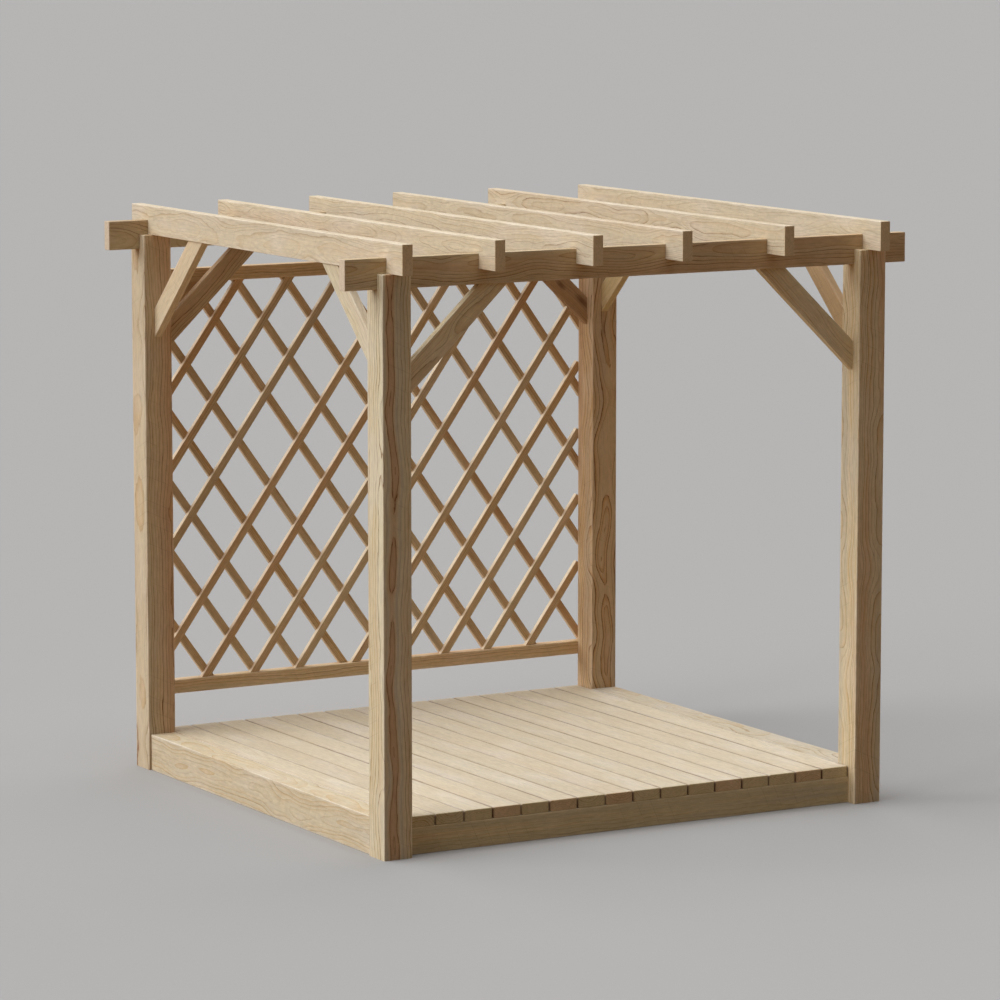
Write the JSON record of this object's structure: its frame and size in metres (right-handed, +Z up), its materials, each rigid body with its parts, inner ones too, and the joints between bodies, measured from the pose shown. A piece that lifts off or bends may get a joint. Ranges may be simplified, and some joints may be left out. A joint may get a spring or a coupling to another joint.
{
  "type": "timber garden pergola",
  "caption": "Open timber pergola with slotted posts, notched rafters, knee braces, a diagonal trellis back and a boarded deck, to sit under.",
  "frame": {"origin": "on the ground, in the middle of the rectangle that the beams and rafters span", "axes": "+X along the beams, +Y from the open front to the trellis at the back, +Z up"},
  "size_m": [2.584, 2.376, 2.399],
  "materials": {
    "pine_posts": "planed, bare",
    "pine_roof_timbers": "planed, bare",
    "pine_deck": "planed, bare",
    "pine_trellis": "planed, bare"
  },
  "bodies": {
    "root": {"back_beam": "pine_roof_timbers", "back_joist": "pine_deck", "back_left_beam_brace": "pine_roof_timbers", "back_left_post": "pine_posts", "back_left_rafter_brace": "pine_roof_timbers", "back_right_beam_brace": "pine_roof_timbers", "back_right_post": "pine_posts", "back_right_rafter_brace": "pine_roof_timbers", "deck_board_01": "pine_deck", "deck_board_02": "pine_deck", "deck_board_03": "pine_deck", "deck_board_04": "pine_deck", "deck_board_05": "pine_deck", "deck_board_06": "pine_deck", "deck_board_07": "pine_deck", "deck_board_08": "pine_deck", "deck_board_09": "pine_deck", "deck_board_10": "pine_deck", "deck_board_11": "pine_deck", "deck_board_12": "pine_deck", "deck_board_13": "pine_deck", "deck_board_14": "pine_deck", "deck_board_15": "pine_deck", "deck_board_16": "pine_deck", "front_beam": "pine_roof_timbers", "front_joist": "pine_deck", "front_left_beam_brace": "pine_roof_timbers", "front_left_post": "pine_posts", "front_left_rafter_brace": "pine_roof_timbers", "front_right_beam_brace": "pine_roof_timbers", "front_right_post": "pine_posts", "front_right_rafter_brace": "pine_roof_timbers", "inner_joist_1": "pine_deck", "inner_joist_2": "pine_deck", "inner_joist_3": "pine_deck", "left_sill": "pine_deck", "rafter_1": "pine_roof_timbers", "rafter_2": "pine_roof_timbers", "rafter_3": "pine_roof_timbers", "rafter_4": "pine_roof_timbers", "rafter_5": "pine_roof_timbers", "rafter_6": "pine_roof_timbers", "right_sill": "pine_deck", "trellis_bottom_rail": "pine_trellis", "trellis_lattice": "pine_trellis", "trellis_top_rail": "pine_trellis"}
  },
  "joints": []
}
